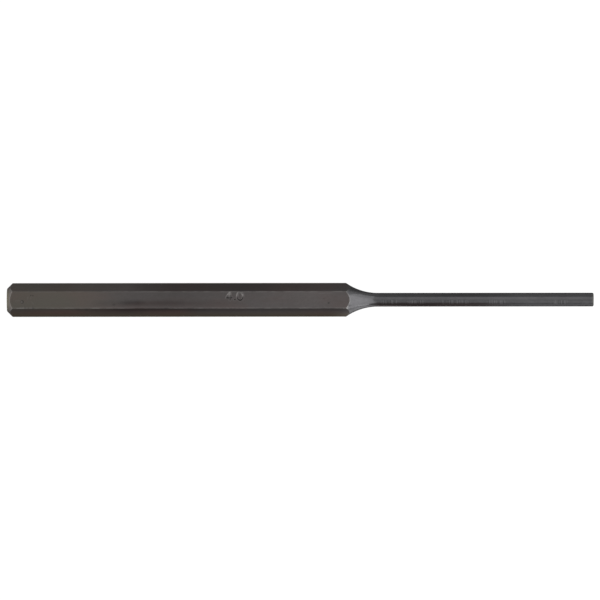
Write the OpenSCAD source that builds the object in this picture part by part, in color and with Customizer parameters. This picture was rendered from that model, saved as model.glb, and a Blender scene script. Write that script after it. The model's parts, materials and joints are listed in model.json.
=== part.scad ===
// Pin punch, turned from one bar of hexagonal tool steel.
// It lies on a flat of its hexagon, on Z = 0, with the middle of its length at X = 0.
// X runs from the struck face to the tip of the pin.

/* [Whole tool] */
// Length from the struck face to the tip
overall_length = 158.75; // [120:0.25:250]

/* [Hexagonal shank] */
// Width of the bar across its flats
across_flats = 7.94; // [7:0.01:14]
// How far each long corner of the drawn bar is rounded off inside its sharp point
corner_rounding = 0.01; // [0.01:0.01:0.4]

/* [Struck end] */
// Diameter of the flat face that takes the hammer
struck_face_d = 6; // [3:0.1:6.8]
// Angle between the tool's axis and the chamfer behind that face
struck_chamfer_angle = 45; // [25:1:65]
// Radius that breaks the rim of the struck face
struck_rim_radius = 0.25; // [0.05:0.05:0.6]

/* [Neck] */
// Radius of the hollow sweep from the shank down to the pin
neck_radius = 14.9; // [8:0.1:40]

/* [Pin] */
// Diameter of the pin, under size so that it follows a 4 mm pin through its hole
pin_d = 3.72; // [1.5:0.01:6.5]
// Straight length of the pin, from the neck to the tip
pin_length = 58.4; // [15:0.1:90]
// Chamfer round the tip
tip_chamfer = 0.2; // [0.05:0.05:0.6]

/* [Hidden] */

// How far the bar runs past both ends before it is turned
overrun = 1;
round_fn = 96;
rim_fn = 32;

bar_sides = 6;
// Angle from the middle of a flat to the corner beside it
flat_to_corner = 180 / bar_sides;
corner_angles = [for (k = [0:bar_sides - 1]) flat_to_corner * (2 * k + 1)];

flat_r = across_flats / 2;
pin_r = pin_d / 2;
struck_face_r = struck_face_d / 2;
// Distance from the axis to a sharp corner, and to the corner as it is rounded
sharp_corner_r = flat_r / cos(flat_to_corner);
corner_r = sharp_corner_r - corner_rounding;
// Where the hollow sweep ends and the straight pin begins, from the struck face
pin_start = overall_length - pin_length;

// A point at a distance and an angle from the origin
function polar(r, a) = [r * cos(a), r * sin(a)];

// The drawn bar's section, with flats that face +X and -X
module bar_section() {
    polygon([for (a = corner_angles) polar(sharp_corner_r, a)]);
}

// Half of the turned outline, as [distance from the axis, distance from the struck face].
// Along the shank it only rounds the bar's corners.
module turned_outline() {
    // How far the rim's radius runs along the face, and along the chamfer
    rim_run = struck_rim_radius / tan((90 + struck_chamfer_angle) / 2);
    chamfer_length = (corner_r - struck_face_r) / tan(struck_chamfer_angle);
    difference() {
        union() {
            polygon([
                [0, 0],
                [struck_face_r - rim_run, 0],
                [
                    struck_face_r + rim_run * sin(struck_chamfer_angle),
                    rim_run * cos(struck_chamfer_angle)
                ],
                [corner_r, chamfer_length],
                [corner_r, pin_start],
                [pin_r, pin_start],
                [pin_r, overall_length - tip_chamfer],
                [pin_r - tip_chamfer, overall_length],
                [0, overall_length]
            ]);
            translate([struck_face_r - rim_run, struck_rim_radius])
                circle(struck_rim_radius, $fn = rim_fn);
        }
        translate([pin_r + neck_radius, pin_start]) circle(neck_radius, $fn = round_fn);
    }
}

// The whole tool: what the turned outline leaves of the drawn bar
module punch() {
    color([0.27, 0.25, 0.24])
        translate([-overall_length / 2, 0, flat_r])
        rotate([0, 90, 0])
        intersection() {
            translate([0, 0, -overrun]) linear_extrude(overall_length + 2 * overrun) bar_section();
            rotate_extrude($fn = round_fn) turned_outline();
        }
}

punch();
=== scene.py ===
"""Dresses a pin punch and sets it in a plain studio.

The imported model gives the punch's main sizes. In its frame the punch lies on a flat of its hexagon on Z = 0,
and X runs from the struck face to the tip of the pin. "Along" is a distance from the struck face, and
"across" is Y. Lengths are in metres, but the tables of tones and marks are in millimetres.
"""

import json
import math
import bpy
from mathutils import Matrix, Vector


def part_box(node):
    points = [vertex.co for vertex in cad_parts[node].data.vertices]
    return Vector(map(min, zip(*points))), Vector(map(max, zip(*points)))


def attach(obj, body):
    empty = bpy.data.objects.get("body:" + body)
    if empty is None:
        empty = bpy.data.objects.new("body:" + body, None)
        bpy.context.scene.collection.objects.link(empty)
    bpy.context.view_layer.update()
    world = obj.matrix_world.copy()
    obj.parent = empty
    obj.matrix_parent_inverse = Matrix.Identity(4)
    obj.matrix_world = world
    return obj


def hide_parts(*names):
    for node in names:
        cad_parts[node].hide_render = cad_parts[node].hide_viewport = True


bl_info = {
    "name": "Pin punch",
    "version": (1, 0, 0),
    "blender": (4, 5, 0),
    "location": "View3D > Sidebar > Pin punch",
    "description": "Builds a black oxide pin punch from hexagonal bar and lights it on a pale floor",
    "category": "Add Mesh",
}

import bpy
import numpy as np
from bpy.props import FloatProperty, FloatVectorProperty, PointerProperty
from mathutils import Matrix, Vector

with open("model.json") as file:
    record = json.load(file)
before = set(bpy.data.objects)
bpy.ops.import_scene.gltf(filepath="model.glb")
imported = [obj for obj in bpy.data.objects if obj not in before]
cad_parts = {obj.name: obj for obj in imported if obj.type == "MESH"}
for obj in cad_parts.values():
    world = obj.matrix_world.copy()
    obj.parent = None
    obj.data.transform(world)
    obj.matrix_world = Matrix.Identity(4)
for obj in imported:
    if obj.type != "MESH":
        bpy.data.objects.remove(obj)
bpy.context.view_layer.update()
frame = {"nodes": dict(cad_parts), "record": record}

NODE = "punch"
BODY = "root"
MM = 0.001
# Two places closer together than this are one place
NEARLY = 0.0001 * MM
SIDES = 6
FLAT_TO_CORNER = math.pi / SIDES


def read_frame():
    """The sizes of the turned bar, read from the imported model's box, pin mount and vertices.

    The neck is a circle that is tangent to the pin. With its run n along the axis and its rise d from the pin
    to the corners, its radius is (n * n + d * d) / (2 * d).
    """
    low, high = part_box(NODE)
    mesh = frame["nodes"][NODE].data
    points = np.empty(len(mesh.vertices) * 3)
    mesh.vertices.foreach_get("co", points)
    points = points.reshape(-1, 3)
    axis_z = (low.z + high.z) / 2
    radius = np.hypot(points[:, 1], points[:, 2] - axis_z)
    pin = next(m for m in frame["record"]["mounts"] if m["name"] == "pin")
    pin_r = pin["dims"]["r_mm"] * MM
    pin_run = pin["dims"]["length_mm"] * MM
    corner_r = radius.max()
    near = 0.01 * MM
    neck_start = points[radius > corner_r - near, 0].max()
    pin_start = pin["pos_m"][0] - pin_run / 2
    run, rise = pin_start - neck_start, corner_r - pin_r
    return {
        "start": low.x,
        "end": high.x,
        "axis_z": axis_z,
        "flat_r": (high.z - low.z) / 2,
        "corner_r": corner_r,
        "face_r": radius[points[:, 0] < low.x + near].max(),
        "pin_r": pin_r,
        "pin_start": pin_start,
        "pin_end": pin_start + pin_run,
        "neck_start": neck_start,
        "neck_radius": (run * run + rise * rise) / (2 * rise),
    }


BAR = read_frame()
LENGTH = BAR["end"] - BAR["start"]
SHANK_END = BAR["neck_start"] - BAR["start"]
PIN_START = BAR["pin_start"] - BAR["start"]
PIN_END = BAR["pin_end"] - BAR["start"]


def length(name, description, default_mm, low=0.0):
    """A length for a property group, given in millimetres."""
    return FloatProperty(
        name=name, description=description, default=default_mm * MM, min=low * MM, unit="LENGTH", precision=5
    )


def colour(name, description, default):
    """A linear colour for a property group."""
    return FloatVectorProperty(
        name=name, description=description, default=default, size=3, min=0.0, max=1.0, subtype="COLOR"
    )


def share(name, description, default):
    """A number from 0 to 1 for a property group."""
    return FloatProperty(name=name, description=description, default=default, min=0.0, max=1.0)


def radiance(name, description, default):
    """A light's radiance for a property group."""
    return FloatProperty(name=name, description=description, default=default, min=0.0)


class PunchSizes(bpy.types.PropertyGroup):
    """The sizes of the punch's small features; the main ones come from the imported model."""

    corner_radius: length("Corner radius", "Radius along the long corners of the bar", 0.08)
    rim_radius: length("Rim radius", "Radius round the struck face", 0.25)
    chamfer_angle: FloatProperty(
        name="Chamfer angle",
        description="Angle between the axis and the chamfer of the struck end",
        default=math.radians(45),
        subtype="ANGLE",
    )
    crease: length("Crease", "How softly the turned surfaces meet the flats", 0.05)
    tip_rounding: length("Tip rounding", "How softly the tip's chamfer meets the pin", 0.05)
    mark_start: length("Size mark place", "Distance from the struck face to the size mark", 59.3)
    mark_height: length("Size mark height", "Height of the struck figures", 2.2)
    mark_rise: length("Size mark rise", "Place of the figures' foot across the flat", -0.1, low=-3.0)
    mark_depth: length("Size mark depth", "Depth of the struck figures", 0.18)
    stroke: length("Stroke", "Width of a stroke of the figures", 0.34)
    dish_depth: length("Dish depth", "How far the flat sinks where marks are struck", 0.03)
    test_mark: length("Test mark", "Diameter of the round dent of the hardness test", 0.8)
    test_mark_depth: length("Test mark depth", "Depth of that dent", 0.08)


class PunchFinish(bpy.types.PropertyGroup):
    """Colours and roughness of the punch."""

    oxide_dark: colour("Dark oxide", "Darker clouds of the oxide on the flats", (0.081, 0.073, 0.0715))
    oxide_light: colour("Light oxide", "Lighter clouds of the oxide on the flats", (0.096, 0.0872, 0.0858))
    oxide_warm: colour("Warm oxide", "Red-brown tint in the oxide", (0.13, 0.076, 0.067))
    oxide_low: colour("Low oxide", "Olive brown oxide low on the near side", (0.108, 0.088, 0.058))
    oxide_struck: colour("Struck end oxide", "Olive oxide towards the struck end", (0.095, 0.086, 0.071))
    # Painted shade in the struck figures, the dents and the nicks
    pit: colour("Pits", "Oxide in the struck figures and dents", (0.03, 0.028, 0.027))
    struck_steel: colour("Struck steel", "Steel round the struck face", (0.185, 0.165, 0.152))
    rim_steel: colour("Rim steel", "Olive steel on the rim of the struck face", (0.182, 0.162, 0.114))
    end_oxide: colour("End oxide", "Olive oxide on the two end faces", (0.06, 0.058, 0.042))
    turned_dark: colour("Dark turned steel", "Darker parts of the turned surfaces", (0.082, 0.081, 0.085))
    turned_light: colour("Light turned steel", "Lighter parts of the turned surfaces", (0.108, 0.107, 0.112))
    # A brown tint with painted shade low on the pin, deeper beside the neck
    brown_tint_and_shade: colour("Heat stain", "Brown stain low on the pin", (0.047, 0.033, 0.032))
    deep_brown_and_shade: colour("Burnt stain", "Darker brown of that stain beside the neck", (0.026, 0.017, 0.016))
    # Worn steel on edges, and painted highlights on the creases, the figures' heads and the test mark's middle
    worn: colour("Worn steel", "Steel that shows where an edge is worn", (0.3, 0.29, 0.28))
    flat_roughness: share("Flat roughness", "Roughness of the drawn flats", 0.36)
    turned_roughness: share("Turned roughness", "Roughness of the turned surfaces", 0.14)
    oxide_metal: share("Oxide metal", "How metallic the oxide looks", 0.75)


class StudioSetup(bpy.types.PropertyGroup):
    """The floor, the lights and the camera."""

    camera_distance: FloatProperty(
        name="Camera distance", description="From axis to camera", default=1.76, min=0.5, unit="LENGTH"
    )
    overhead_light: radiance("Overhead light", "Radiance of the soft box over the punch", 0.275)
    overhead_core: radiance("Overhead core", "Radiance that the narrower box over the punch adds", 0.2)
    pin_end_light: radiance("Pin end light", "Radiance of the wide soft box beyond the pin", 0.86)
    pin_end_core: radiance("Pin end core", "Radiance that the narrower box inside it adds", 0.42)
    front_light: radiance("Front light", "Radiance of the upright soft box in front of the pin", 1.8)
    room_light: radiance("Room light", "Radiance of the room's sides", 0.28)
    room_ends: radiance("Room ends", "Radiance that the two ends of the room add", 0.85)
    floor_seen: share("Floor", "How pale the floor is to the camera", 0.12)
    floor_glow: share("Floor glow", "Light that the floor adds to what the camera sees of it", 0.95)
    floor_near: share("Near floor", "Radiance of the floor beside the punch, as the punch sees it", 0.13)
    floor_far: share("Far floor", "Radiance of the floor further off, as the punch sees it", 0.42)
    floor_front: share("Front floor", "Radiance that the floor in front of the neck adds", 1.0)
    floor_end: share("End floor", "Radiance that the floor beyond the two ends adds", 0.35)


def smooth_step(low, high, value):
    """0 below low, 1 above high, and 3 * t * t - 2 * t * t * t between them."""
    t = np.clip((value - low) / (high - low), 0.0, 1.0)
    return t * t * (3.0 - 2.0 * t)


def bump(value, centre, half_width):
    """A round hill: exp of minus the square of the distance from the centre over the half width."""
    return np.exp(-(((value - centre) / half_width) ** 2))


def stretch_share(place, start, end, fade):
    """1 between start and end, and 0 outside them, with a smooth step of length fade inside each end."""
    return smooth_step(start, start + fade, place) * (1.0 - smooth_step(end - fade, end, place))


def soft_min(first, second, softness):
    """The smaller of two surfaces. Within softness of each other they blend: the smaller one less
    h * h * softness / 4, where h falls from 1 where they cross to 0 where they are that far apart."""
    h = np.clip(1.0 - np.abs(first - second) / softness, 0.0, 1.0)
    return np.minimum(first, second) - h * h * softness / 4.0


def table_value(place, table):
    """A table's value at a place. It holds a row of places and a row of values, joined by straight lines."""
    return np.interp(place, *table)


def from_flat(angle):
    """The angle from the middle of the nearest flat."""
    return np.mod(angle + FLAT_TO_CORNER, 2 * FLAT_TO_CORNER) - FLAT_TO_CORNER


def hexagon_radius(angle, corner_radius):
    """Distance from the axis to the drawn bar's skin at an angle from the middle of the top flat.

    On a flat it is flat_r / cos(a), where a is the angle from the flat's middle. Round a corner, at the angle
    b from the corner's own direction, it is c * cos(b) + sqrt(q * q - (c * sin(b)) ** 2), where q is the
    corner's radius and c the distance of its centre.
    """
    flat_r = BAR["flat_r"]
    around = from_flat(angle)
    from_corner = FLAT_TO_CORNER - np.abs(around)
    centre = (flat_r - corner_radius) / math.cos(FLAT_TO_CORNER)
    under_root = np.maximum(corner_radius**2 - (centre * np.sin(from_corner)) ** 2, 0.0)
    rounded = centre * np.cos(from_corner) + np.sqrt(under_root)
    tangent = FLAT_TO_CORNER - math.atan((flat_r - corner_radius) * math.tan(FLAT_TO_CORNER) / flat_r)
    return np.where(from_corner < tangent, rounded, flat_r / np.cos(around))


class Turning:
    """The turned outline of the punch: radius as a function of the distance from the struck face."""

    def __init__(self, sizes):
        self.slope = math.tan(sizes.chamfer_angle)
        self.rim = sizes.rim_radius
        self.rim_turn = math.pi / 2 - sizes.chamfer_angle
        self.rim_end = self.rim * (1 - math.cos(self.rim_turn))
        self.rim_end_r = BAR["face_r"] + self.rim * math.sin(self.rim_turn)

    def radius(self, along):
        """Four stretches: the rim's arc, the chamfer's straight line, the neck's arc
        pin_r + R - sqrt(R * R - n * n), where n is the distance before the pin, and the pin with its
        chamfered tip."""
        rim_arc = BAR["face_r"] + np.sqrt(np.maximum(self.rim**2 - (self.rim - along) ** 2, 0.0))
        chamfer = self.rim_end_r + (along - self.rim_end) * self.slope
        start = np.where(along < self.rim_end, rim_arc, chamfer)
        before_pin = np.clip(PIN_START - along, 0.0, BAR["neck_radius"])
        neck = BAR["pin_r"] + BAR["neck_radius"] - np.sqrt(BAR["neck_radius"] ** 2 - before_pin**2)
        tip = np.maximum(along - PIN_END, 0.0)
        return np.where(along < SHANK_END / 2, start, neck - tip)

    def chamfer_meets(self, skin):
        """Distance from the struck face at which the chamfer meets the bar's skin."""
        return self.rim_end + (skin - self.rim_end_r) / self.slope

    def neck_meets(self, skin):
        """Distance from the struck face at which the neck meets the bar's skin."""
        drop = BAR["neck_radius"] - (skin - BAR["pin_r"])
        return PIN_START - np.sqrt(BAR["neck_radius"] ** 2 - drop**2)


# How finely the mesh follows the tool: columns of a flat and of a corner, and steps and counts of rings
TOP_FLAT_COLUMNS = 64
NEAR_FLAT_COLUMNS = 20
FLAT_COLUMNS = 10
CORNER_COLUMNS = 5
FINE_STEP = 0.07 * MM
SHANK_STEP = 0.42 * MM
PIN_STEP = 0.36 * MM
FACE_RINGS = 10
RIM_RINGS = 5
NECK_RINGS = 36
TIP_RINGS = 5
TIP_CHAMFER_RINGS = 3
# Rings across a crease, as multiples of its softness: a fine band, and two guard rings on each side that keep
# its shading off the surfaces beside it
CREASE_BAND = np.concatenate([[-4.0, -3.0], np.linspace(-2.2, 2.2, 13), [3.0, 4.0]])
# How far from a crease the rings still bend with it
CREASE_REACH = 4.0 * MM
# The stretch near the struck end with the test mark, scratches and nicks, which has a fine mesh
STRUCK_END_DETAIL = (2.3 * MM, 7.8 * MM)
# Length of the stretch that holds the size mark, in heights of its figures
MARK_STRETCH = 3


def column_angles(corner_radius):
    """Angles of the mesh's columns from the middle of the top flat, once round.

    A column on a flat lies at atan(y / flat_r). On the top flat y is evenly spaced; on the others y runs as a
    sine, so that the columns crowd towards the corners, and the flat towards -Y has more of them. The columns
    of a corner are spaced evenly round its arc.
    """
    flat_r = BAR["flat_r"]
    edge = (flat_r - corner_radius) * math.tan(FLAT_TO_CORNER)
    counts = [TOP_FLAT_COLUMNS] + [FLAT_COLUMNS] * (SIDES - 2) + [NEAR_FLAT_COLUMNS]
    turns = np.linspace(-FLAT_TO_CORNER, FLAT_TO_CORNER, CORNER_COLUMNS + 2)[1:-1]
    centre = (flat_r - corner_radius) / math.cos(FLAT_TO_CORNER)
    corner = np.arctan2(corner_radius * np.sin(turns), centre + corner_radius * np.cos(turns))
    angles = []
    for side, count in enumerate(counts):
        middle = 2 * FLAT_TO_CORNER * side
        spread = np.linspace(-1.0, 1.0, count)
        if side > 0:
            spread = np.sin(spread * math.pi / 2)
        angles.append(middle + np.arctan(edge * spread / flat_r))
        angles.append(middle + FLAT_TO_CORNER + corner)
    return np.concatenate(angles)


def steps(start, end, step):
    """Evenly spaced places from start to just before end, no further apart than step."""
    return np.linspace(start, end, max(1, math.ceil((end - start) / step)), endpoint=False)


def ring_stations(sizes, turning, chamfer_end, neck_start):
    """Places of the mesh's rings along a corner, from the rim of the struck face to the edge of the tip."""
    crease = CREASE_BAND * sizes.crease
    reach = crease[-1]
    turns = np.linspace(0.0, turning.rim_turn, RIM_RINGS)
    mark_start = sizes.mark_start - sizes.stroke
    mark_end = sizes.mark_start + MARK_STRETCH * sizes.mark_height
    fine_start, fine_end = STRUCK_END_DETAIL
    return np.concatenate(
        [
            sizes.rim_radius * (1 - np.cos(turns)),
            steps(turning.rim_end, chamfer_end - reach, SHANK_STEP / 2)[1:],
            chamfer_end + crease,
            steps(chamfer_end + reach, fine_start, SHANK_STEP)[1:],
            steps(fine_start, fine_end, FINE_STEP),
            steps(fine_end, mark_start, SHANK_STEP),
            steps(mark_start, mark_end, FINE_STEP),
            steps(mark_end, neck_start - reach, SHANK_STEP),
            neck_start + crease,
            np.linspace(neck_start + reach, PIN_START, NECK_RINGS)[1:-1],
            steps(PIN_START, PIN_END - sizes.tip_rounding, PIN_STEP),
            PIN_END + np.linspace(-1.0, 1.0, TIP_RINGS) * sizes.tip_rounding,
            np.linspace(PIN_END + sizes.tip_rounding, LENGTH, TIP_CHAMFER_RINGS)[1:],
        ]
    )


def skin_grid(sizes, turning, angles, skin):
    """The skin from the struck face's rim to the tip's edge, as distance along the axis and radius for each
    ring and column. The rings follow the two curved creases where turned surfaces cut the flats: near a
    crease a ring is shifted by as much as the crease itself lies off its place at the corners."""
    chamfer_end = turning.chamfer_meets(BAR["corner_r"])
    neck_start = turning.neck_meets(BAR["corner_r"])
    stations = ring_stations(sizes, turning, chamfer_end, neck_start)
    reach = CREASE_BAND[-1] * sizes.crease
    follow = (0.0, 1.0, 1.0, 0.0)
    chamfer_places = (turning.rim_end, chamfer_end - reach, chamfer_end + reach, chamfer_end + CREASE_REACH)
    neck_places = (neck_start - CREASE_REACH, neck_start - reach, neck_start + reach, PIN_START)
    chamfer_pull = np.interp(stations, chamfer_places, follow)[:, None]
    neck_pull = np.interp(stations, neck_places, follow)[:, None]
    along = (
        stations[:, None]
        + chamfer_pull * (turning.chamfer_meets(skin) - chamfer_end)
        + neck_pull * (turning.neck_meets(skin) - neck_start)
    )
    return along, soft_min(turning.radius(along), skin, sizes.crease)


# The plain figures 4.0 of the size mark, in shares of their height: the strokes of a four, the width of a
# figure, and the steps from the four to the point and from there to the nought. Half the point's length is in
# widths of a stroke.
FIGURE_FOUR = ((0.66, 1.0), (0.0, 0.3), (1.0, 0.3)), ((0.66, 1.0), (0.66, 0.0))
FIGURE_WIDTH = 0.74
POINT_STEP = 1.08
NOUGHT_STEP = 0.42
POINT_HALF_LENGTH = 1 / 3
NOUGHT_TURNS = 24


def stroke_distance(x, y, lines):
    """Distance from each point to the nearest place on some lines of straight pieces."""
    nearest = np.full(x.shape, np.inf)
    for line in lines:
        for (x0, y0), (x1, y1) in zip(line[:-1], line[1:]):
            dx, dy = x1 - x0, y1 - y0
            t = np.clip(((x - x0) * dx + (y - y0) * dy) / (dx * dx + dy * dy), 0.0, 1.0)
            nearest = np.minimum(nearest, np.hypot(x - x0 - t * dx, y - y0 - t * dy))
    return nearest


def size_mark_strokes(sizes):
    """The strokes of the size mark on the top flat: a four of straight strokes, a point, and a nought that is
    an ellipse."""
    height, rise = sizes.mark_height, sizes.mark_rise
    wide = height * FIGURE_WIDTH
    lines = [[(sizes.mark_start + u * wide, rise + v * height) for u, v in line] for line in FIGURE_FOUR]
    point = sizes.mark_start + height * POINT_STEP
    foot = rise + sizes.stroke / 2
    half = sizes.stroke * POINT_HALF_LENGTH
    lines.append([(point - half, foot), (point + half, foot)])
    centre = point + height * NOUGHT_STEP + wide / 2 - sizes.stroke
    turns = np.linspace(0.0, 2 * math.pi, NOUGHT_TURNS + 1)
    lines.append(list(zip(centre + wide / 2 * np.cos(turns), rise + height / 2 * (1 + np.sin(turns)))))
    return lines


# Share of the figures' height over which a stroke turns from deep with painted shade to shallow with a painted
# highlight, how much shallower it is at its head and how much less painted shade it has there, and how worn
# its lip is at its foot
HEAD_RISE = (0.1, 0.8)
HEAD_SHALLOWNESS = 0.4
HEAD_BRIGHTNESS = 0.75
FOOT_LIP_WEAR = 0.4
# The lip that a stroke has pushed up: its place and half width in half strokes, its height in depths of the
# dish, and how worn it is; that strength of wear also sets the painted highlights on the figures' heads and
# the test mark's middle
LIP_ROW = (1.35, 0.4)
LIP_HEIGHT = 0.6
LIP_WEAR = 1.6
# Where the flat has sunk under struck marks, in millimetres: its ends and how softly it starts at them, and
# the middle and half height of the rows
DISH_ENDS = (22, 69, 2.5)
DISH_ROWS = (1, 1.5)
# The hardness test's dent: its place in millimetres, and its rim, painted dark as shade, and its middle,
# painted light as a highlight, in shares of its radius
TEST_MARK_PLACE = (4.2, -0.5)
TEST_RIM = (0.8, 0.3)
TEST_MIDDLE = 0.4
# Dents of use on the top flat, in millimetres: place along, place across, radius and depth
FLAT_DENTS = (
    (87, -0.85, 0.32, 0.03),
    (85.9, 0.35, 0.25, 0.015),
    (6.55, 1.2, 0.24, 0.03),
    (7.1, 1.15, 0.24, 0.03),
    (29, -1.3, 0.45, 0.02),
)
# The depth at which such a dent gets as much painted shade as a pit
DARK_DENT_DEPTH = 0.03
# A dent's or a nick's radius in half widths of its hill
DENT_SPREAD = 1.5
# Light scratches on the top flat, in millimetres, each from one place to another
SCRATCHES = (
    ((2.4, -0.15), (3.5, -0.2)),
    ((5.75, 0.25), (5.85, 1)),
    ((6.45, 0.3), (6.65, 0.9)),
    ((6.7, -0.3), (7.3, -1.2)),
    ((72, 2), (72, 1.2)),
    ((84.6, 1.75), (88, 1.85)),
)
SCRATCH_HALF_WIDTH = 0.09
SCRATCH_DEPTH = 0.008 * MM
SCRATCH_WEAR = 0.35
# Nicks in the bar's corners: place along in millimetres, number of the corner after the top flat, half length
# and depth in millimetres. One with a fraction in its number lies beside that corner.
CORNER_NICKS = (
    (4.9, 5, 0.45, 0.09),
    (5.8, 5, 0.3, 0.06),
    (7, 5, 0.5, 0.09),
    (19.3, 4.87, 0.6, 0.06),
    (21.6, 4.87, 0.6, 0.07),
    (24.2, 4.87, 0.45, 0.05),
    (43, 5, 0.5, 0.03),
    (6.3, 0, 0.4, 0.04),
    (8, 0, 0.3, 0.04),
    (33, 0, 0.5, 0.03),
    (66.2, 0, 0.35, 0.06),
    (74.4, 0, 0.35, 0.08),
    (11, 2, 0.5, 0.05),
    (64, 2, 0.8, 0.05),
    (27, 3, 0.6, 0.05),
    (81, 3, 0.4, 0.04),
)
NICK_HALF_ANGLE = math.radians(3)


def relief_depth(sizes, along, across):
    """How deep the top flat lies under its true plane, for places along and across it, with how much painted
    shade each place gets in its hollows and how much wear and painted highlight it gets, both from 0 to 1.

    A stroke of the size mark is a trough, depth * (1 - (d / w) ** 2) at a distance d from its line and within
    half a stroke w of it, with a low lip just outside. The test mark is such a trough round a point. The
    figures were struck harder at their foot than at their head, and get painted shade at their foot and a
    painted highlight at their head. The test mark's rim and the dents get painted shade, and the test mark's
    middle a painted highlight. The dish, the dents and the scratches are round hills turned down.
    """
    half = sizes.stroke / 2
    distance = stroke_distance(along, across, size_mark_strokes(sizes))
    head = smooth_step(*HEAD_RISE, (across - sizes.mark_rise) / sizes.mark_height)
    hollow = np.clip(1.0 - (distance / half) ** 2, 0.0, 1.0)
    lip = bump(distance / half, *LIP_ROW)
    x, y = along / MM, across / MM
    in_dish = stretch_share(x, *DISH_ENDS)
    dish = sizes.dish_depth * in_dish * (bump(y, *DISH_ROWS) - LIP_HEIGHT * lip)
    trough = sizes.mark_depth * hollow * (1.0 - HEAD_SHALLOWNESS * head)
    depth = np.maximum(dish + trough, 0.0)
    from_test = np.hypot(x - TEST_MARK_PLACE[0], y - TEST_MARK_PLACE[1]) / (sizes.test_mark / 2 / MM)
    depth += np.clip(1.0 - from_test**2, 0.0, 1.0) * sizes.test_mark_depth
    # Painted shade in the strokes, most at their foot, and on the test mark's rim
    pressed = np.maximum(hollow * (1.0 - HEAD_BRIGHTNESS * head), bump(from_test, *TEST_RIM))
    groove = bump(stroke_distance(x, y, SCRATCHES), 0.0, SCRATCH_HALF_WIDTH)
    depth += SCRATCH_DEPTH * groove
    # Wear on the lips and the scratches, and painted highlights on the figures' heads and the test mark's
    # middle
    lip_wear = lip * (FOOT_LIP_WEAR + (1.0 - FOOT_LIP_WEAR) * head)
    bright_middle = bump(from_test, 0.0, TEST_MIDDLE)
    rubbed_and_highlit = np.max([lip_wear, hollow * head, bright_middle, SCRATCH_WEAR * groove], axis=0)
    for place, row, radius, deep in FLAT_DENTS:
        dent = bump(np.hypot(x - place, y - row), 0.0, radius / DENT_SPREAD)
        depth += deep * MM * dent
        # Painted shade in each dent, by its depth
        pressed = np.maximum(pressed, dent * deep / DARK_DENT_DEPTH)
    return depth, pressed, rubbed_and_highlit


def corner_depth(along, angles):
    """How deep the nicks go into the bar's corners: round hills along the bar times round hills round it."""
    depth = np.zeros(along.shape)
    for place, corner, half, deep in CORNER_NICKS:
        direction = FLAT_TO_CORNER * (2 * corner + 1)
        off = np.mod(angles - direction + math.pi, 2 * math.pi) - math.pi
        depth += deep * MM * bump(along / MM, place, half / DENT_SPREAD) * bump(off, 0.0, NICK_HALF_ANGLE)
    return depth


# Waves that the turning left on the pin: strength, pitch in millimetres and phase of each
RIPPLES = ((1.0, 2.9, 0.3), (0.7, 5.3, 1.7), (0.6, 1.7, 4.1))
RIPPLE_DEPTH = 0.003 * MM
RIPPLE_START_FADE = 6 * MM
RIPPLE_END_FADE = 1 * MM


def pin_ripple(along):
    """Depth of slow waves on the pin, a sum of sines that fades in past the neck and out at the tip."""
    waves = sum(part * np.sin(2 * math.pi * along / (pitch * MM) + phase) for part, pitch, phase in RIPPLES)
    waves = (waves / sum(part for part, _, _ in RIPPLES) + 1.0) / 2
    start = smooth_step(PIN_START, PIN_START + RIPPLE_START_FADE, along)
    return RIPPLE_DEPTH * start * (1.0 - smooth_step(PIN_END - RIPPLE_END_FADE, PIN_END, along)) * waves


# How far wear reaches from an edge, and how strong the wear and painted highlight are on the crease of the
# neck.
# Along the near and the far edge of the top flat the wear's strength changes, by millimetres along the bar.
WEAR_WIDTH = 0.16 * MM
NECK_CREASE_WEAR_AND_HIGHLIGHT = 0.55
NEAR_EDGE_WEAR = (
    (1, 4, 6, 18, 20, 29, 31.5, 35, 43, 46, 90),
    (2.2, 2.2, 1.3, 1.3, 1.8, 1.9, 1.0, 0.4, 0.5, 1.2, 1.4),
)
FAR_EDGE_WEAR = ((2, 26, 40), (0.6, 0.6, 1.1))
# The wear and painted highlight on the turned creases are stronger where they run out at the bar's corners
CREASE_END_WEAR_AND_HIGHLIGHT = 2.6
CREASE_END_HIGHLIGHT_REACH = 0.9 * MM


def wear_and_highlight_amount(along, angles, skin, turning):
    """How exposed each vertex is to wear, and on the creases how strong a painted highlight is. It is a round
    hill on each corner, crease and rim, about 1 high and a fifth of a millimetre wide, and higher where the
    tables say so."""
    from_corner = (FLAT_TO_CORNER - np.abs(from_flat(angles))) * BAR["corner_r"]
    chamfer, neck = turning.chamfer_meets(skin), turning.neck_meets(skin)
    width = WEAR_WIDTH
    on_bar = smooth_step(0.0, width, along - chamfer + width) * (1.0 - smooth_step(0.0, width, along - neck))
    corner = bump(from_corner, 0.0, width) * on_bar
    for side, table in ((-1, NEAR_EDGE_WEAR), (1, FAR_EDGE_WEAR)):
        on_edge = np.cos(angles - side * FLAT_TO_CORNER) > math.cos(FLAT_TO_CORNER / 2)
        corner = corner * np.where(on_edge, table_value(along / MM, table), 1.0)
    # Wear with a painted highlight on the creases, stronger where they run out at the corners
    ends = 1.0 + CREASE_END_WEAR_AND_HIGHLIGHT * bump(from_corner, 0.0, CREASE_END_HIGHLIGHT_REACH)
    neck_crease_wear_and_highlight = NECK_CREASE_WEAR_AND_HIGHLIGHT * bump(along, neck + width / 2, width)
    creases = np.maximum(bump(along, chamfer, width / 2), neck_crease_wear_and_highlight) * ends
    rim = np.maximum(bump(along, turning.rim_end / 2, width), bump(along, PIN_END, width))
    return np.maximum(np.maximum(corner, creases), rim)


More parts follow.
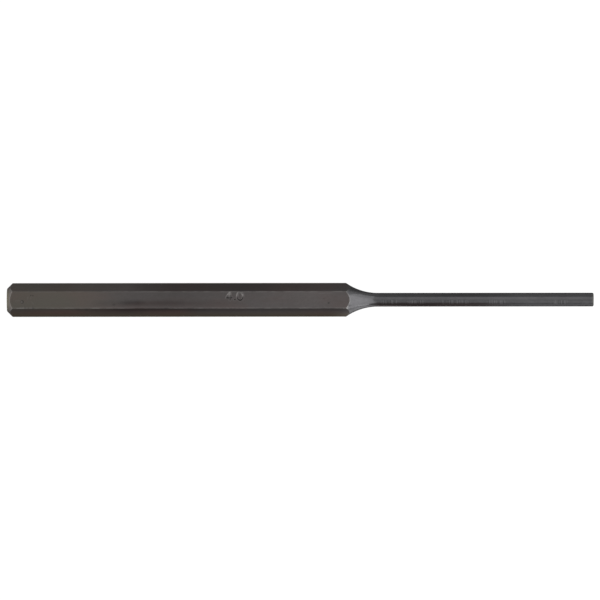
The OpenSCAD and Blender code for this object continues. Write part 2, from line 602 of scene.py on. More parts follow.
# Lightness of the oxide by millimetres along the bar, partly its own uneven tone and partly painted light and
# shade: on the top flat, on the flats behind it and on those in front of it
TOP_TONES = ((2, 15, 28, 45, 66, 82, 89), (1.0, 1.16, 0.98, 0.83, 0.99, 1.15, 1.02))
BACK_TONES = ((2, 18, 25, 33, 38, 45, 70, 85, 90), (3.1, 2.42, 1.55, 1.4, 1.0, 0.72, 0.82, 1.16, 1.2))
FRONT_TONES = ((2, 25, 33, 55, 70, 85, 90), (0.92, 0.76, 0.58, 1.14, 1.3, 1.26, 0.9))
# Painted shade on the near flat, darker along its upper edge than along its lower one: lightness at each
FRONT_EDGE_SHADE_TONES = (0.62, 1.42)
# A darker line runs close under that upper edge: its strength along the bar, and its middle and half width
FRONT_LINE_STRENGTH = (
    (2, 4.5, 7.5, 11, 16, 19, 28, 34, 44, 50, 55, 90),
    (0.3, 0.45, 0.42, 0.62, 0.65, 0.55, 0.62, 0.68, 0.6, 0.45, 0.16, 0.12),
)
FRONT_LINE_ROW = (0.3, 0.5)
# The same of painted shade on the top flat, below the struck rows
DISH_SHADE_STRENGTH = (
    (22.5, 25, 27.5, 30, 32.5, 35.5, 38, 42, 46, 48.5, 60, 66),
    (0, 0.2, 0.15, 0.2, 0.43, 0.56, 0.34, 0.4, 0.33, 0.2, 0.12, 0),
)
DISH_SHADE_ROW = (-0.9, 0.75)
# How red-brown the oxide is along the lower edge of the near flat, from where it fades to 0 at the upper
# edge, and along the far flat
FRONT_WARMTH = (
    (3, 8, 14, 19, 22.5, 28, 34, 39, 47, 52, 60, 72, 79, 84, 87, 92),
    (0.8, 1.5, 1.8, 1.5, 0.75, 0.5, 0.55, 1.1, 1.2, 0.4, 0.2, 0.3, 0.5, 1.0, 0.9, 0.2),
)
BACK_WARMTH = (
    (8, 12, 17, 22, 25, 38, 47, 64, 74, 84, 90),
    (0, 0.12, 0.1, 0, 0, 0.1, 0.22, 0.08, 0.22, 0.16, 0),
)
# Lightness of the turned surfaces along the neck and the pin
TURNED_TONES = (
    (92, 94, 96, 97.5, 99.5, 102, 126, 138, 150),
    (0.92, 0.96, 1.14, 1.25, 1.2, 1.06, 1.09, 1.23, 1.13),
)
# Painted light makes them lighter low on their near side, over these distances from the axis in millimetres
NECK_LOW_PAINTED_LIGHT = 0.25
NECK_LOW_LIGHT_ROWS = (1.6, 2.2)
# Bands of painted light and shade on the neck's near side, which follow how upright its surface is, 1 where it
# faces up and 0 where it stands, with the lightness of each. They fade in over the distance from the axis, and
# out along the neck, both in millimetres.
NECK_LIGHT_BANDS = (
    (0.54, 0.6, 0.63, 0.66, 0.69, 0.71, 0.73, 0.76, 0.79, 0.82),
    (1.0, 1.25, 1.45, 1.55, 1.14, 0.84, 0.72, 0.76, 0.96, 1.0),
)
NECK_LIGHT_BANDS_SIDE = (0, 0.3)
NECK_LIGHT_BANDS_END = (94.5, 98)
# Painted shade and light on the far side of the pin: lightness along it, and where it starts, by distance from
# the axis
PIN_BACK_SHADING = ((100, 112, 120, 128, 133, 138, 147, 155), (0.9, 0.84, 0.7, 0.68, 0.78, 0.95, 0.92, 1.04))
PIN_BACK_SHADING_ROWS = (0.7, 0.95)
# Stretches of the pin where the tool chattered and how softly they start, and the band that it shows on
# towards -Y and how softly that starts, in millimetres
CHATTER_STRETCHES = ((101, 106), (108, 113.2), (117.2, 125.6), (129.2, 135.5), (147.2, 151.8))
CHATTER_FADE = 0.8
CHATTER_ROWS = (0, 1.3, 0.25)


def by_side(angles, top, back, front):
    """Picks a value for each place of the bar, for its top flat, its +Y side or its -Y side."""
    on_top = np.cos(angles) > math.cos(FLAT_TO_CORNER)
    return np.where(on_top, top, np.where(np.sin(angles) > 0.0, back, front))


def drawn_facts(x, y, angles):
    """Lightness and warmth of the oxide on the flats, from the tables; the lightness is partly the oxide's own
    tone and partly painted light and shade. On the near flat painted shade makes the lightness run straight
    from its upper edge to its lower one, and so does the warmth, from 0; a darker line runs under that upper
    edge. The top flat gets painted shade below its struck rows."""
    edge = BAR["flat_r"] * math.tan(FLAT_TO_CORNER) / MM
    under_edge = -y - edge
    lowness = np.clip(under_edge / (BAR["corner_r"] / MM - edge), 0.0, 1.0)
    line = bump(under_edge, *FRONT_LINE_ROW) * table_value(x, FRONT_LINE_STRENGTH)
    # Painted shade on the near flat, darker towards its upper edge
    front = table_value(x, FRONT_TONES) * np.interp(lowness, (0.0, 1.0), FRONT_EDGE_SHADE_TONES) * (1.0 - line)
    # Painted shade on the top flat below the struck rows
    top = table_value(x, TOP_TONES) * (1.0 - bump(y, *DISH_SHADE_ROW) * table_value(x, DISH_SHADE_STRENGTH))
    warmth = by_side(angles, 0.0, table_value(x, BACK_WARMTH), table_value(x, FRONT_WARMTH) * lowness)
    # Lightness of each side, partly the oxide's own tone and partly painted light and shade
    return by_side(angles, top, table_value(x, BACK_TONES), front), warmth


def turned_tone(x, y, angles):
    """Lightness of the turned steel, from the tables, with painted light low on the near side, painted bands
    of light and shade on the neck's near side, and painted shade and light on the pin's far side. How upright
    the neck is at a place is the cosine of its slope along the punch times that of its angle round it."""
    sunk = np.clip((PIN_START - x * MM) / BAR["neck_radius"], 0.0, 1.0)
    # Painted bands of light and shade on the neck's near side, by how upright it is
    bands = table_value(np.sqrt(1.0 - sunk**2) * np.cos(angles), NECK_LIGHT_BANDS)
    on_light_bands = smooth_step(*NECK_LIGHT_BANDS_SIDE, -y) * (1.0 - smooth_step(*NECK_LIGHT_BANDS_END, x))
    # Painted shade and light on the far side of the pin
    behind = smooth_step(*PIN_BACK_SHADING_ROWS, y) * (x * MM > PIN_START)
    # Painted light low on the near side of the neck and the pin
    tone = table_value(x, TURNED_TONES) * (1.0 + NECK_LOW_PAINTED_LIGHT * smooth_step(*NECK_LOW_LIGHT_ROWS, -y))
    return tone * (1.0 + (bands - 1.0) * on_light_bands) * (1.0 + (table_value(x, PIN_BACK_SHADING) - 1.0) * behind)


# How many straight pieces the outline's length is added up from
OUTLINE_PIECES = 8000


def profile_length(along, turning):
    """Distance travelled along the turned outline from the middle of the struck face, as the sum of many
    short straight pieces of it. It is the same all round, so that the turning marks are true circles."""
    places = np.linspace(0.0, LENGTH, OUTLINE_PIECES + 1)
    radius = np.minimum(turning.radius(places), BAR["corner_r"])
    pieces = np.hypot(np.diff(places), np.diff(radius))
    return np.interp(along, places, radius[0] + np.concatenate([[0.0], np.cumsum(pieces)]))


def surface_facts(along, radius, angles, skin, turning):
    """The values that the materials read at each vertex. "Outline" is the distance along the outline."""
    x, y = along / MM, radius * np.sin(angles) / MM
    tone, warmth = drawn_facts(x, y, angles)
    stretches = [stretch_share(x, *ends, CHATTER_FADE) for ends in CHATTER_STRETCHES]
    return {
        # Wear, with painted highlights on the creases
        "wear": wear_and_highlight_amount(along, angles, skin, turning),
        "tone": np.where(along > turning.neck_meets(skin), turned_tone(x, y, angles), tone),
        "warmth": warmth,
        "chatter": np.max(stretches, axis=0) * stretch_share(-y, *CHATTER_ROWS),
        "outline": profile_length(along, turning),
    }


def shape_skin(sizes, turning):
    """Every vertex of the skin in the model's frame, its radius, what the materials need to know of it, and
    which faces of the skin are drawn bar: those between the two creases."""
    angles = column_angles(sizes.corner_radius)
    skin = hexagon_radius(angles, sizes.corner_radius)
    along, radius = skin_grid(sizes, turning, angles, skin)
    radius = radius - pin_ripple(along) * (along > PIN_START)
    on_shank = (radius > skin - sizes.crease / 4).astype(float)
    nicks = corner_depth(along, angles) * on_shank
    radius = radius - nicks
    across = radius * np.sin(angles)
    on_top = (np.cos(angles) * skin > BAR["flat_r"] - NEARLY) * on_shank
    depth, pressed, rubbed_and_highlit = relief_depth(sizes, along, across)
    height = radius * np.cos(angles) - depth * on_top
    points = np.stack([BAR["start"] + along, across, BAR["axis_z"] + height], axis=-1)
    facts = surface_facts(along, radius, angles, skin, turning)
    # Painted shade in the figures, the dents and the nicks, and wear with painted highlights on the figures
    facts["pressed"] = np.maximum(pressed * on_top, nicks / nicks.max())
    facts["wear"] = np.maximum(facts["wear"], LIP_WEAR * rubbed_and_highlit * on_top)
    chamfer, neck = turning.chamfer_meets(skin), turning.neck_meets(skin)
    drawn = (along[:-1] >= chamfer - NEARLY) & (along[1:] <= neck + NEARLY)
    return points, radius, facts, drawn


def closed_mesh(name, points, middle_start, middle_end, facts):
    """A closed mesh from rings of points, with a fan to a middle point at each end."""
    rings, columns = points.shape[:2]
    vertices = np.concatenate([points.reshape(-1, 3), [middle_start, middle_end]])
    ring, column = np.meshgrid(np.arange(rings - 1), np.arange(columns), indexing="ij")
    here, beside = ring * columns + column, ring * columns + (column + 1) % columns
    quads = np.stack([here, here + columns, beside + columns, beside], axis=-1).reshape(-1, 4)
    around = np.arange(columns)
    onward = (around + 1) % columns
    last = (rings - 1) * columns
    fan_start = np.stack([np.full(columns, rings * columns), around, onward], axis=-1)
    fan_end = np.stack([np.full(columns, rings * columns + 1), last + onward, last + around], axis=-1)
    mesh = bpy.data.meshes.new(name)
    mesh.from_pydata(vertices.tolist(), [], quads.tolist() + fan_start.tolist() + fan_end.tolist())
    for fact, values in facts.items():
        attribute = mesh.attributes.new(fact, "FLOAT", "POINT")
        attribute.data.foreach_set("value", np.append(values.ravel(), [values[0].mean(), values[-1].mean()]))
    mesh.shade_smooth()
    return mesh


def build_punch(sizes):
    """The punch as one closed mesh: a disc of rings for the struck face, the skin, and a disc for the tip."""
    points, radius, facts, drawn = shape_skin(sizes, Turning(sizes))
    shares = (np.arange(1, FACE_RINGS) / FACE_RINGS)[:, None]
    middle_start = np.array([BAR["start"], 0.0, BAR["axis_z"]])
    middle_end = np.array([BAR["end"], 0.0, BAR["axis_z"]])
    struck_face = middle_start + shares[:, :, None] * (points[0] - middle_start)
    tip_face = middle_end + shares[::-1, :, None] * (points[-1] - middle_end)
    for fact, values in facts.items():
        ahead = np.repeat(values[:1], FACE_RINGS - 1, axis=0)
        after = np.repeat(values[-1:], FACE_RINGS - 1, axis=0)
        if fact == "wear":
            ahead, after = ahead * 0.0, after * 0.0
        if fact == "outline":
            ahead, after = ahead * shares, after + radius[-1:] * (1.0 - shares[::-1])
        facts[fact] = np.concatenate([ahead, values, after])
    rows = np.concatenate([struck_face, points, tip_face])
    mesh = closed_mesh("steel_punch", rows, middle_start, middle_end, facts)
    material = np.ones(len(mesh.polygons), int)
    first = (FACE_RINGS - 1) * points.shape[1]
    material[first : first + drawn.size] = np.where(drawn.ravel(), 0, 1)
    mesh.polygons.foreach_set("material_index", material)
    return mesh


def wire(tree, node, inputs):
    """Gives a node its inputs, which map a socket's name or number to a value or to another node's output."""
    for key, value in inputs.items():
        socket = node.inputs[key]
        if isinstance(value, bpy.types.NodeSocket):
            tree.links.new(value, socket)
        elif socket.type == "RGBA":
            socket.default_value = (*value[:3], 1.0)
        else:
            socket.default_value = value
    return node


def put(tree, kind, inputs=(), **settings):
    """Adds a shader node with its inputs and its other settings."""
    node = tree.nodes.new(kind)
    for name, value in settings.items():
        setattr(node, name, value)
    return wire(tree, node, dict(inputs))


def math_node(tree, operation, *values):
    """A Math node's output, from numbers or other nodes' outputs."""
    return put(tree, "ShaderNodeMath", dict(enumerate(values)), operation=operation).outputs[0]


def product(tree, first, *others):
    """The product of numbers or other nodes' outputs."""
    for other in others:
        first = math_node(tree, "MULTIPLY", first, other)
    return first


def scaled(tree, value, factor, offset):
    """Value * factor + offset."""
    return math_node(tree, "MULTIPLY_ADD", value, factor, offset)


def mix_colour(tree, factor, first, second, blend="MIX"):
    """A mix of two colours."""
    node = put(tree, "ShaderNodeMix", {0: factor, 6: first, 7: second}, data_type="RGBA", blend_type=blend)
    return node.outputs[2]


def noise(tree, place, scale, stretch=1.0, detail=3.0, roughness=0.55):
    """Noise from 0 to 1, with so many clouds in a metre as its scale, drawn out along the bar by stretch."""
    longer = put(tree, "ShaderNodeMapping", {"Vector": place, "Scale": (1.0 / stretch, 1.0, 1.0)}).outputs[0]
    inputs = {"Vector": longer, "Scale": scale, "Detail": detail, "Roughness": roughness}
    return put(tree, "ShaderNodeTexNoise", inputs).outputs["Fac"]


def ramp(tree, value, low, high):
    """A value's rise from 0 at low to 1 at high, smooth at both ends."""
    inputs = {"Value": value, "From Min": low, "From Max": high}
    return put(tree, "ShaderNodeMapRange", inputs, interpolation_type="SMOOTHSTEP").outputs["Result"]


def fade(tree, place, ends, start=0.0):
    """A rise from 0 to 1 between two places in millimetres from start."""
    low, high = ends
    return ramp(tree, place, start + low * MM, start + high * MM)


def new_group(name, inputs, outputs):
    """A shader node group and what its inner nodes are given. Two maps name its sockets and their kinds."""
    group = bpy.data.node_groups.new(name, "ShaderNodeTree")
    for in_out, sockets in (("INPUT", inputs), ("OUTPUT", outputs)):
        for socket, kind in sockets.items():
            group.interface.new_socket(name=socket, in_out=in_out, socket_type=f"NodeSocket{kind}")
    return group, group.nodes.new("NodeGroupInput").outputs


def place_group(tree, group, **inputs):
    """Places a group and returns its outputs. An input's name has underlines for its spaces."""
    named = {name.replace("_", " "): value for name, value in inputs.items()}
    return put(tree, "ShaderNodeGroup", named, node_tree=group).outputs


# The oxide's clouds, coarse to fine: share, how many times finer, stretch, detail and roughness of each. Then
# the ends of the mix of light and dark, and the size of the coarse ones.
CLOUD_LAYERS = ((0.4, 1.0, 2.5, 3.0, 0.55), (0.25, 5.0, 1.8, 4.0, 0.55), (0.35, 14.0, 1.6, 3.0, 0.65))
CLOUD_ENDS = (0.34, 0.66)
CLOUD_SIZE = 6 * MM
# Breaks in the wear: clouds in a metre, stretch and roughness, their ends, and how much wear is left in them
BREAKS = {"scale": 1300.0, "stretch": 3.0, "roughness": 0.6}
BREAK_ENDS = (0.4, 0.6)
UNBROKEN = 0.4
# Lines and grain of the drawn bar, with the share of the lines
DRAWN_LINES = {"scale": 5000.0, "stretch": 60.0, "detail": 2.0}
DRAWN_GRAIN = {"scale": 9000.0, "stretch": 2.0, "detail": 2.0}
LINE_SHARE = 0.6
# Turning rings and the wider bands of them, with the share of the rings, and chatter marks
RINGS = {"scale": 9000.0, "detail": 2.0}
RING_BANDS = {"scale": 1400.0, "detail": 1.0}
RING_SHARE = 0.35
CHATTER = {"scale": 3200.0, "detail": 0.0}
CHATTER_ENDS = (0.47, 0.53)
# How much lighter a crest of the chatter is painted than a hollow, as painted light and shade
CHATTER_PAINTED_LIGHT = 0.75


def clouds_group():
    """Cloudy colour: three sizes of soft clouds, drawn out along the bar, mix a dark and a light colour, and
    a tone makes the mix lighter or darker."""
    inputs = {"Place": "Vector", "dark": "Color", "light": "Color", "tone": "Float"}
    group, given = new_group("Oxide clouds", inputs, {"Color": "Color", "Clouds": "Float"})
    total = 0.0
    for part, finer, *shape in CLOUD_LAYERS:
        total = scaled(group, noise(group, given["Place"], finer / CLOUD_SIZE, *shape), part, total)
    clouds = ramp(group, total, *CLOUD_ENDS)
    grey = put(group, "ShaderNodeCombineColor", {channel: given["tone"] for channel in range(3)}).outputs[0]
    mixed = mix_colour(group, clouds, given["dark"], given["light"])
    toned = mix_colour(group, 1.0, mixed, grey, "MULTIPLY")
    put(group, "NodeGroupOutput", {"Color": toned, "Clouds": clouds})
    return group


def wear_group():
    """Edge wear, which also carries painted highlights on the creases: broken noise rubs the oxide off where
    the mesh says that an edge is exposed.
    """
    inputs = {"Place": "Vector", "exposed": "Float", "amount": "Float"}
    group, given = new_group("Edge wear", inputs, {"Mask": "Float"})
    broken = ramp(group, noise(group, given["Place"], **BREAKS), *BREAK_ENDS)
    rubbed = scaled(group, broken, 1.0 - UNBROKEN, UNBROKEN)
    put(group, "NodeGroupOutput", {"Mask": product(group, rubbed, given["amount"], given["exposed"])})
    return group


def draw_lines_group():
    """Fine lines along the bar and a fine grain, as a height from 0 to 1."""
    group, given = new_group("Drawn lines", {"Place": "Vector"}, {"Height": "Float"})
    lines, grain = (noise(group, given["Place"], **look) for look in (DRAWN_LINES, DRAWN_GRAIN))
    height = scaled(group, lines, LINE_SHARE, product(group, grain, 1.0 - LINE_SHARE))
    put(group, "NodeGroupOutput", {"Height": height})
    return group


def turning_group():
    """Turning marks: rings at an uneven pitch along the outline, and chatter where the mesh asks for it, as
    heights and as painted light and shade on the steel."""
    outputs = {"Height": "Float", "Ticks": "Float", "Lightness": "Float"}
    group, given = new_group("Turning marks", {"outline": "Float", "chatter": "Float"}, outputs)
    line = put(group, "ShaderNodeCombineXYZ", {0: given["outline"]}).outputs[0]
    rings, bands, chatter = (noise(group, line, **look) for look in (RINGS, RING_BANDS, CHATTER))
    height = scaled(group, rings, RING_SHARE, product(group, bands, 1.0 - RING_SHARE))
    ticks = ramp(group, chatter, *CHATTER_ENDS)
    # Painted light and shade on the chatter's crests and hollows
    lighter = scaled(group, ticks, CHATTER_PAINTED_LIGHT, -CHATTER_PAINTED_LIGHT / 2)
    lightness = scaled(group, lighter, given["chatter"], 1.0)
    ticks = product(group, ticks, given["chatter"])
    put(group, "NodeGroupOutput", {"Height": height, "Ticks": ticks, "Lightness": lightness})
    return group


def attribute(tree, name):
    """A value that the mesh carries at each vertex."""
    return put(tree, "ShaderNodeAttribute", attribute_name=name).outputs["Fac"]


def coordinates(tree):
    """The object's coordinates, and two of them by themselves, along and across the punch."""
    place = put(tree, "ShaderNodeTexCoord").outputs["Object"]
    along, across, _ = put(tree, "ShaderNodeSeparateXYZ", {0: place}).outputs
    return place, along, across


def new_material(name, roughness, metallic):
    """A node material with its tree, its Principled shader and the object's coordinates."""
    material = bpy.data.materials.new(name)
    material.use_nodes = True
    tree = material.node_tree
    shader = tree.nodes["Principled BSDF"]
    wire(tree, shader, {"Roughness": roughness, "Metallic": metallic})
    return material, tree, shader, *coordinates(tree)


def lay_over(tree, colour, *layers):
    """Lays colours over a first one, each by its own amount."""
    for amount, over in layers:
        colour = mix_colour(tree, amount, colour, over)
    return colour


def relief(tree, height, strength=1.0, **under):
    """A surface's normal, bent by a height of its fine relief."""
    inputs = {"Height": height, "Strength": strength, "Distance": FINE_RELIEF, **under}
    return put(tree, "ShaderNodeBump", inputs).outputs[0]


# How deep the fine relief of a surface is, and how strong that of the drawn bar and of the turning rings
FINE_RELIEF = 0.01 * MM
DRAWN_RELIEF = 0.35
RING_RELIEF = 0.3
# The drawn oxide: its red-brown clouds, and the olive oxide towards the struck end and low on the near side,
# with the places in millimetres between which each fades in
WARM_CLOUDS = {"scale": 140.0, "stretch": 3.0}
WARM_CLOUD_ENDS = (0.42, 0.7)
WARM_CLOUD_SHARE = 0.2
OLIVE_PLACES = (34, 14)
OLIVE_SHARE = 0.8
LOW_EDGE_ROWS = (-3, -4.5)
LOW_EDGE_SHARE = 0.85
# How much painted shade the figures, the dents and the nicks get
PIT_SHARE = 0.9
FLAT_WEAR = 0.28
# How much smoother the lighter clouds are than the darker ones
CLOUD_SMOOTHNESS = 0.08
# The turned oxide: places in millimetres from the struck face, from the tip, from the pin's start and across
STRUCK_STEEL_PLACES = (3, 2)
RIM_PLACES = (0.75, 0.3)
FACE_PLACES = (0.04, 0.01)
FACE_SHARE = 0.6
TIP_PLACES = (-0.4, -0.1)
# Where the brown tint with painted shade lies low on the pin, and its deeper part beside the neck
BROWN_SHADE_END_PLACES = (-16, -36)
DEEP_SHADE_PLACES = (-40, -46)
BROWN_SHADE_START_PLACES = (-3.2, 1.1)
BROWN_SHADE_ROWS = (-0.5, -1.2)
DEEP_SHADE_ROWS = (-0.85, -1.2)
BROWN_SHADE_SHARE = 0.9
BROWN_SHADE_LOST_ON_CHATTER = 0.25
TURNED_WEAR = 0.3


def drawn_oxide(finish, groups):
    """Black oxide on the drawn flats: brown-black clouds, warmer low on the near side, painted light and shade
    in its tone, painted shade in the figures, dents and nicks, and worn edges with painted highlights.
    """
    material, tree, shader, place, along, across = new_material(
        "drawn_black_oxide", finish.flat_roughness, finish.oxide_metal
    )
    tone, exposed = attribute(tree, "tone"), attribute(tree, "wear")
    clouds = place_group(
        tree, groups["clouds"], Place=place, dark=finish.oxide_dark, light=finish.oxide_light, tone=tone
    )
    worn = place_group(tree, groups["wear"], Place=place, exposed=exposed, amount=FLAT_WEAR)["Mask"]
    warm = ramp(tree, noise(tree, place, **WARM_CLOUDS), *WARM_CLOUD_ENDS)
    oxide = lay_over(
        tree,
        clouds["Color"],
        (product(tree, fade(tree, along, OLIVE_PLACES, BAR["start"]), OLIVE_SHARE), finish.oxide_struck),
        (scaled(tree, warm, WARM_CLOUD_SHARE, attribute(tree, "warmth")), finish.oxide_warm),
        (product(tree, fade(tree, across, LOW_EDGE_ROWS), LOW_EDGE_SHARE), finish.oxide_low),
        # Painted shade in the figures, the dents and the nicks
        (product(tree, attribute(tree, "pressed"), PIT_SHARE), finish.pit),
        # Worn edges, and painted highlights on the creases and the figures
        (worn, finish.worn),
    )
    rough = scaled(tree, clouds["Clouds"], -CLOUD_SMOOTHNESS, finish.flat_roughness + CLOUD_SMOOTHNESS / 2)
    lines = place_group(tree, groups["lines"], Place=place)["Height"]
    normal = relief(tree, lines, DRAWN_RELIEF)
    wire(tree, shader, {"Base Color": oxide, "Roughness": rough, "Normal": normal})
    return material


def turned_oxide(finish, groups):
    """Black oxide on the turned surfaces: greyer and smoother, with rings from the lathe, a brown tint with
    painted shade low on the pin, olive end faces, and worn edges with painted highlights on the creases."""
    material, tree, shader, place, along, across = new_material(
        "turned_black_oxide", finish.turned_roughness, finish.oxide_metal
    )
    outline, chatter, exposed = (attribute(tree, name) for name in ("outline", "chatter", "wear"))
    marks = place_group(tree, groups["turning"], outline=outline, chatter=chatter)
    # The tone, with the painted light and shade of the neck and the pin, and of the chatter
    tone = product(tree, attribute(tree, "tone"), marks["Lightness"])
    clouds = place_group(
        tree, groups["clouds"], Place=place, dark=finish.turned_dark, light=finish.turned_light, tone=tone
    )
    worn = place_group(tree, groups["wear"], Place=place, exposed=exposed, amount=TURNED_WEAR)["Mask"]
    struck, rim, face = (
        fade(tree, along, places, BAR["start"])
        for places in (STRUCK_STEEL_PLACES, RIM_PLACES, FACE_PLACES)
    )
    tip, brown_shade_end, deep_shade_end = (
        fade(tree, along, places, BAR["end"])
        for places in (TIP_PLACES, BROWN_SHADE_END_PLACES, DEEP_SHADE_PLACES)
    )
    # Brown tint with painted shade low on the pin
    tint_and_shade = product(
        tree,
        brown_shade_end,
        fade(tree, along, BROWN_SHADE_START_PLACES, BAR["pin_start"]),
        fade(tree, across, BROWN_SHADE_ROWS),
        scaled(tree, marks["Ticks"], -BROWN_SHADE_LOST_ON_CHATTER, BROWN_SHADE_SHARE),
    )
    deep_shade = product(tree, deep_shade_end, fade(tree, across, DEEP_SHADE_ROWS))
    ends = math_node(tree, "MAXIMUM", product(tree, face, FACE_SHARE), tip)
    oxide = lay_over(
        tree,
        clouds["Color"],
        # Brown tint with painted shade low on the pin, deeper beside the neck
        (tint_and_shade, mix_colour(tree, deep_shade, finish.brown_tint_and_shade, finish.deep_brown_and_shade)),
        (struck, mix_colour(tree, rim, finish.struck_steel, finish.rim_steel)),
        (ends, finish.end_oxide),
        # Worn edges, and painted highlights on the creases
        (worn, finish.worn),
    )
    normal = relief(tree, marks["Ticks"], Normal=relief(tree, marks["Height"], RING_RELIEF))
    wire(tree, shader, {"Base Color": oxide, "Normal": normal})
    return material


class PUNCH_OT_add_punch(bpy.types.Operator):
    """Build the punch from its sizes and give it its finish"""

    bl_idname = "punch.add_punch"
    bl_label = "Punch"

    def execute(self, context):
        scene = context.scene
        groups = {
            "clouds": clouds_group(),
            "wear": wear_group(),
            "lines": draw_lines_group(),
            "turning": turning_group(),
        }
        mesh = build_punch(scene.punch_sizes)
        mesh.materials.append(drawn_oxide(scene.punch_finish, groups))
        mesh.materials.append(turned_oxide(scene.punch_finish, groups))
        piece = bpy.data.objects.new("steel_punch", mesh)
        scene.collection.objects.link(piece)
        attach(piece, BODY)
        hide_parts(NODE)
        return {"FINISHED"}


FLOOR_HALF_WIDTH = 30.0
FLOOR_CORNERS = ((-1, -1), (1, -1), (1, 1), (-1, 1))
# Distances in millimetres over which the floor grows lighter, from the punch and beyond its ends
FLOOR_FADE = (12, 35)
FLOOR_END_FADE = (1, 10)
# The light patch in front of the neck starts at a slant and some way towards -Y. Past its end along X it goes
# on in front of the pin at a share of its strength.
FRONT_FLOOR_START = (0, 9)
FRONT_FLOOR_SLANT = 0.7
FRONT_FLOOR_DEPTH = (-5, -11)
FRONT_FLOOR_END = (31, 23)
FRONT_FLOOR_AFTER = 0.25
# How far the soft boxes are from the middle of the punch, and the name, the setting and the reach of each. It
# reaches between two angles in degrees from straight up, towards the tip and then towards +Y.
SOFT_BOX_DISTANCE = 1.2
SOFT_BOXES = (
    ("overhead_soft_box", "overhead_light", ((-45, 11), (-42, 48))),
    ("overhead_core_box", "overhead_core", ((-45, 11), (8, 49))),
    ("pin_end_soft_box", "pin_end_light", ((11, 70), (-64, 62))),
    ("pin_end_core_box", "pin_end_core", ((11, 70), (-64, 24))),
)
# The upright box's two sides along the punch and its top, and its distance in front of the punch
FRONT_BOX = (0.1, 0.75, 0.1)
FRONT_BOX_DISTANCE = 0.3
# Over which shares of a direction along X the room grows lighter towards its two ends
ROOM_END_FADE = (0.3, 0.9)
# The room's radiance to the camera, which meets the far floor's at the horizon
FAR_PALENESS = 0.99
# The photograph's frame, where the two ends of the punch lie in it, and how far its axis rises between them
PHOTO_WIDTH_PX = 600
STRUCK_END_PX = 7.16
TIP_END_PX = 593.45
AXIS_ROW_PX = 299.82
AXIS_RISE_PX = 0.5


def as_seen(tree, by_camera, by_punch):
    """One value to the camera, and another to the punch."""
    seen = put(tree, "ShaderNodeLightPath").outputs["Is Camera Ray"]
    inputs = {"Value": seen, "To Min": by_punch, "To Max": by_camera}
    return put(tree, "ShaderNodeMapRange", inputs).outputs["Result"]


def floor_material(studio):
    """A pale floor. To the camera it is near white with a soft shadow. The punch sees it as a light table:
    dim close beside it, lighter further off, and lightest in front of the neck and beyond the two ends.
    Distance from the punch is that from the stretch of the X axis that it covers."""
    material = bpy.data.materials.new("pale_floor")
    material.use_nodes = True
    tree = material.node_tree
    tree.nodes.clear()
    _, along, across = coordinates(tree)
    beyond = math_node(tree, "SUBTRACT", math_node(tree, "ABSOLUTE", along), LENGTH / 2)
    outside = math_node(tree, "MAXIMUM", beyond, 0.0)
    offset = put(tree, "ShaderNodeCombineXYZ", {0: outside, 1: across}).outputs[0]
    distance = put(tree, "ShaderNodeVectorMath", {0: offset}, operation="LENGTH").outputs["Value"]
    front = product(
        tree,
        scaled(tree, fade(tree, along, FRONT_FLOOR_END), 1.0 - FRONT_FLOOR_AFTER, FRONT_FLOOR_AFTER),
        fade(tree, scaled(tree, across, FRONT_FLOOR_SLANT, along), FRONT_FLOOR_START),
        fade(tree, across, FRONT_FLOOR_DEPTH),
    )
    bounce = studio.floor_near
    for amount, more in (
        (fade(tree, distance, FLOOR_FADE), studio.floor_far - studio.floor_near),
        (front, studio.floor_front),
        (fade(tree, beyond, FLOOR_END_FADE), studio.floor_end),
    ):
        bounce = scaled(tree, amount, more, bounce)
    diffuse = put(tree, "ShaderNodeBsdfDiffuse", {"Color": as_seen(tree, studio.floor_seen, 0.0)})
    glow = put(tree, "ShaderNodeEmission", {"Strength": as_seen(tree, studio.floor_glow, bounce)})
    both = put(tree, "ShaderNodeAddShader", {0: diffuse.outputs[0], 1: glow.outputs[0]})
    put(tree, "ShaderNodeOutputMaterial", {"Surface": both.outputs[0]})
    return material


def area_light(name, wide, high, radiance):
    """A rectangular light that the camera doesn't see. Its power is radiance * pi * area."""
    data = bpy.data.lights.new(name, "AREA")
    data.shape = "RECTANGLE"
    data.size, data.size_y = wide, high
    data.energy = radiance * math.pi * wide * high
    light = bpy.data.objects.new(name, data)
    light.visible_camera = False
    bpy.context.scene.collection.objects.link(light)
    return light


def soft_box(name, reach, radiance):
    """A light that faces the middle of the punch, and reaches between the angles that it is given."""
    angles = np.radians(reach)
    tipward, sideward = np.tan(angles.mean(axis=1))
    wide, high = 2 * SOFT_BOX_DISTANCE * np.tan(np.diff(angles)[:, 0] / 2)
    direction = Vector((tipward, sideward, 1.0)).normalized()
    side = Vector((0.0, 1.0, 0.0)).cross(direction).normalized()
    turned = Matrix((side, direction.cross(side), direction)).transposed().to_4x4()
    light = area_light(name, wide, high, radiance)
    light.matrix_world = Matrix.Translation(direction * SOFT_BOX_DISTANCE) @ turned


def front_soft_box(radiance):
    """An upright soft box low in front of the pin, from beside its tip outwards. It faces +Y."""
    low, high, top = FRONT_BOX
    light = area_light("front_soft_box", high - low, top, radiance)
    light.location = ((low + high) / 2, -FRONT_BOX_DISTANCE, top / 2)
    light.rotation_euler = (math.pi / 2, 0.0, 0.0)


def room(studio):
    """The room round the punch: pale to the camera, and to the punch dim, but lighter at its two ends."""
    world = bpy.data.worlds.new("studio_room")
    world.use_nodes = True
    tree = world.node_tree
    direction = put(tree, "ShaderNodeTexCoord").outputs["Generated"]
    endward = math_node(tree, "ABSOLUTE", put(tree, "ShaderNodeSeparateXYZ", {0: direction}).outputs["X"])
    ends = scaled(tree, ramp(tree, endward, *ROOM_END_FADE), studio.room_ends, studio.room_light)
    white = (1.0, 1.0, 1.0)
    wire(tree, tree.nodes["Background"], {"Color": white, "Strength": as_seen(tree, FAR_PALENESS, ends)})
    return world


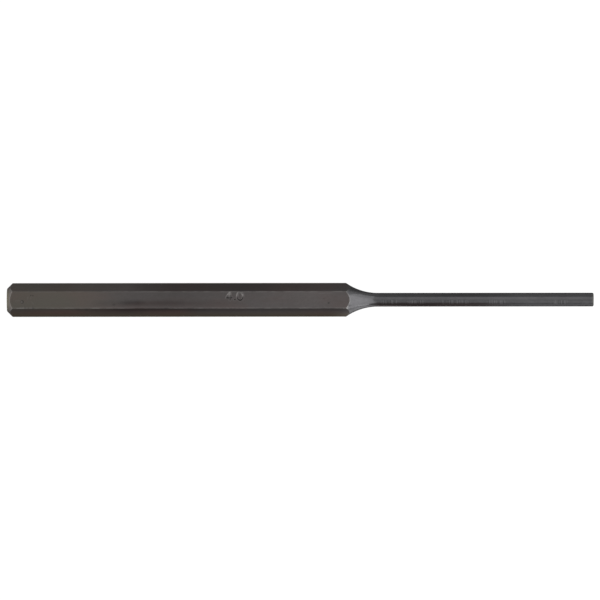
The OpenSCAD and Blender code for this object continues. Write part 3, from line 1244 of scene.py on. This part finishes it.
class PUNCH_OT_add_stage(bpy.types.Operator):
    """Add the floor, the lights and the camera"""

    bl_idname = "punch.add_stage"
    bl_label = "Studio"

    def execute(self, context):
        scene = context.scene
        studio = scene.punch_studio
        self.add_floor(scene, studio)
        self.add_lights(scene, studio)
        self.add_camera(scene, studio)
        return {"FINISHED"}

    def add_floor(self, scene, studio):
        corners = [(x * FLOOR_HALF_WIDTH, y * FLOOR_HALF_WIDTH, 0) for x, y in FLOOR_CORNERS]
        mesh = bpy.data.meshes.new("floor")
        mesh.from_pydata(corners, [], [range(len(corners))])
        mesh.materials.append(floor_material(studio))
        floor = bpy.data.objects.new("floor", mesh)
        scene.collection.objects.link(floor)

    def add_lights(self, scene, studio):
        for name, setting, reach in SOFT_BOXES:
            soft_box(name, reach, getattr(studio, setting))
        front_soft_box(studio.front_light)
        scene.world = room(studio)
        scene.view_settings.view_transform = "Standard"

    def add_camera(self, scene, studio):
        per_pixel = LENGTH / (TIP_END_PX - STRUCK_END_PX)
        data = bpy.data.cameras.new("camera")
        data.lens = data.sensor_width * studio.camera_distance / (PHOTO_WIDTH_PX * per_pixel)
        camera = bpy.data.objects.new("camera", data)
        middle_px = PHOTO_WIDTH_PX / 2
        aside = (middle_px - (STRUCK_END_PX + TIP_END_PX) / 2) * per_pixel
        up = (AXIS_ROW_PX - middle_px) * per_pixel
        camera.location = (aside, up, BAR["axis_z"] + studio.camera_distance)
        camera.rotation_euler = (0.0, 0.0, -AXIS_RISE_PX / (TIP_END_PX - STRUCK_END_PX))
        scene.collection.objects.link(camera)
        scene.camera = camera


class PUNCH_PT_panel(bpy.types.Panel):
    """The punch's and the studio's settings"""

    bl_label = "Pin punch"
    bl_idname = "PUNCH_PT_panel"
    bl_space_type = "VIEW_3D"
    bl_region_type = "UI"
    bl_category = "Pin punch"

    def draw(self, context):
        scene = context.scene
        for settings in (scene.punch_sizes, scene.punch_finish, scene.punch_studio):
            box = self.layout.box()
            for name in settings.bl_rna.properties.keys():
                if name not in ("rna_type", "name"):
                    box.prop(settings, name)
        for operator in OPERATORS:
            self.layout.operator(operator.bl_idname)


OPERATORS = (PUNCH_OT_add_punch, PUNCH_OT_add_stage)
CLASSES = (PunchSizes, PunchFinish, StudioSetup, *OPERATORS, PUNCH_PT_panel)


def register():
    for cls in CLASSES:
        bpy.utils.register_class(cls)
    bpy.types.Scene.punch_sizes = PointerProperty(type=PunchSizes)
    bpy.types.Scene.punch_finish = PointerProperty(type=PunchFinish)
    bpy.types.Scene.punch_studio = PointerProperty(type=StudioSetup)


def unregister():
    del bpy.types.Scene.punch_sizes
    del bpy.types.Scene.punch_finish
    del bpy.types.Scene.punch_studio
    for cls in reversed(CLASSES):
        bpy.utils.unregister_class(cls)


def main():
    register()
    bpy.ops.punch.add_punch()
    bpy.ops.punch.add_stage()


if __name__ == "__main__":
    main()
